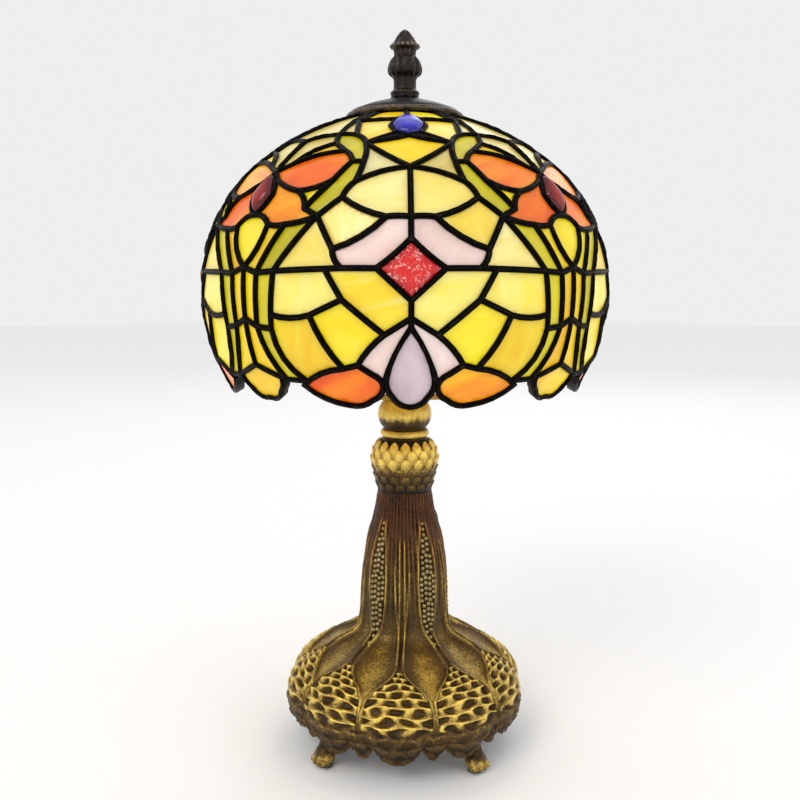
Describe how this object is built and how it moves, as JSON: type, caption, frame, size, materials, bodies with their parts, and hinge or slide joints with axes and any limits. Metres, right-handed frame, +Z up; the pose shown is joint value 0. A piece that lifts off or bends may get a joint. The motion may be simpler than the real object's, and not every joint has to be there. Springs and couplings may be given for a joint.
{
  "type": "stained glass table lamp",
  "caption": "Table lamp with a domed stained glass shade of flowers and jewels in dark solder, on a cast antique-brass base with paw feet.",
  "frame": {"origin": "on the table, under the axis of the column, at the underside of the felt pads", "axes": "+Z up along the column; the lamp's front faces -Y and its cord inlet is on +Y"},
  "size_m": [0.2064, 0.2064, 0.3649],
  "materials": {
    "antique_brass": "cast zinc, brass plated, dark wax in the hollows",
    "dark_bronze": "dark bronze lacquer",
    "plain_brass": "bright, lightly tarnished",
    "dark_solder": "soldered, black patina",
    "steel": "zinc plated",
    "iron": "as cast",
    "felt": "green felt",
    "nylon": "moulded",
    "phenolic": "moulded",
    "porcelain": "glazed",
    "bulb_cap_metal": "rolled",
    "bulb_opal": "opal",
    "glass_cream": "opalescent, streaky",
    "glass_yellow": "opalescent, streaky",
    "glass_amber": "opalescent, streaky",
    "glass_orange": "opalescent, streaky",
    "glass_lilac": "opalescent, streaky",
    "glass_ribbon": "opalescent",
    "jewel_red": "pressed, stippled",
    "jewel_ruby": "pressed, faceted",
    "jewel_blue": "pressed, domed"
  },
  "bodies": {
    "base": {"base_casting": "antique_brass", "paw_feet": "antique_brass", "foot_pads": "felt", "bottom_plate": "steel", "counterweight": "iron", "pipe_washer": "steel", "pipe_nuts": "steel", "lamp_pipe": "steel", "cord_bush": "nylon", "scale_collar": "antique_brass", "neck_ring": "antique_brass", "neck_ball": "antique_brass", "harp_saddle": "plain_brass", "holder_cup": "plain_brass", "holder_shell": "plain_brass", "holder_core": "porcelain", "holder_screw_shell": "plain_brass", "centre_contact": "plain_brass"},
    "key": {"switch_key": "phenolic"},
    "bulb_thread": {"bulb_contact": "steel"},
    "bulb": {"bulb_cap": "bulb_cap_metal", "bulb_glass": "bulb_opal"},
    "harp": {"harp_hoop": "plain_brass", "harp_stud": "plain_brass"},
    "sleeve_left": {"harp_sleeve_left": "plain_brass"},
    "sleeve_right": {"harp_sleeve_right": "plain_brass"},
    "shade": {"crown_wheel": "plain_brass", "vent_cap": "dark_bronze", "came_lattice": "dark_solder", "glass_crown_strips": "glass_yellow", "glass_crown_flanks": "glass_yellow", "glass_crown_corners": "glass_cream", "glass_small_triangles": "glass_cream", "glass_lens_halves": "glass_cream", "glass_cream_quads": "glass_cream", "glass_lilac_wings": "glass_lilac", "glass_big_triangles": "glass_cream", "glass_side_blocks": "glass_cream", "glass_sunrays": "glass_yellow", "glass_kites": "glass_yellow", "glass_outer_blocks": "glass_amber", "glass_lilac_leaves": "glass_lilac", "glass_orange_drops": "glass_orange", "glass_ribbons": "glass_ribbon", "glass_crescents": "glass_cream", "glass_slivers": "glass_yellow", "glass_orange_wings": "glass_orange", "glass_orange_bells": "glass_orange", "glass_amber_trims": "glass_amber", "glass_staves": "glass_yellow", "glass_shields": "glass_yellow", "glass_teardrops": "glass_lilac", "glass_crown_fans": "glass_cream", "glass_amber_hearts": "glass_amber", "glass_tail_petals": "glass_amber", "jewel_blue_drops": "jewel_blue", "jewel_red_squares": "jewel_red", "jewel_ruby_ovals": "jewel_ruby"},
    "finial_thread": {"finial_insert": "plain_brass"},
    "finial": {"finial": "dark_bronze"}
  },
  "joints": [
    {"name": "harp_lift", "type": "slide", "parent": "base", "child": "harp", "axis": [0, 0, 1], "range_m": [0, 0.03]},
    {"name": "sleeve_left_slide", "type": "slide", "parent": "harp", "child": "sleeve_left", "axis": [0, 0, 1], "range_m": [0, 0.0075]},
    {"name": "sleeve_right_slide", "type": "slide", "parent": "harp", "child": "sleeve_right", "axis": [0, 0, 1], "range_m": [0, 0.0075]},
    {"name": "shade_turn", "type": "hinge", "parent": "harp", "child": "shade", "pos_m": [0, 0, 0.3], "axis": [0, 0, 1], "continuous": true},
    {"name": "finial_rise", "type": "slide", "parent": "harp", "child": "finial_thread", "axis": [0, 0, 1], "range_m": [0, 0.01]},
    {"name": "finial_unscrew", "type": "hinge", "parent": "finial_thread", "child": "finial", "pos_m": [0, 0, 0.34], "axis": [0, 0, 1], "range_deg": [0, 3240]},
    {"name": "bulb_rise", "type": "slide", "parent": "base", "child": "bulb_thread", "axis": [0, 0, 1], "range_m": [0, 0.0172]},
    {"name": "bulb_unscrew", "type": "hinge", "parent": "bulb_thread", "child": "bulb", "pos_m": [0, 0, 0.22], "axis": [0, 0, 1], "range_deg": [0, 2160]},
    {"name": "switch_turn", "type": "hinge", "parent": "base", "child": "key", "pos_m": [0, 0.02, 0.1999], "axis": [0, 1, 0], "continuous": true}
  ],
  "couplings": [
    {"joint": "finial_rise", "follows": "finial_unscrew", "m_per_rad": 0.00014961},
    {"joint": "bulb_rise", "follows": "bulb_unscrew", "m_per_rad": 0.00044882}
  ]
}
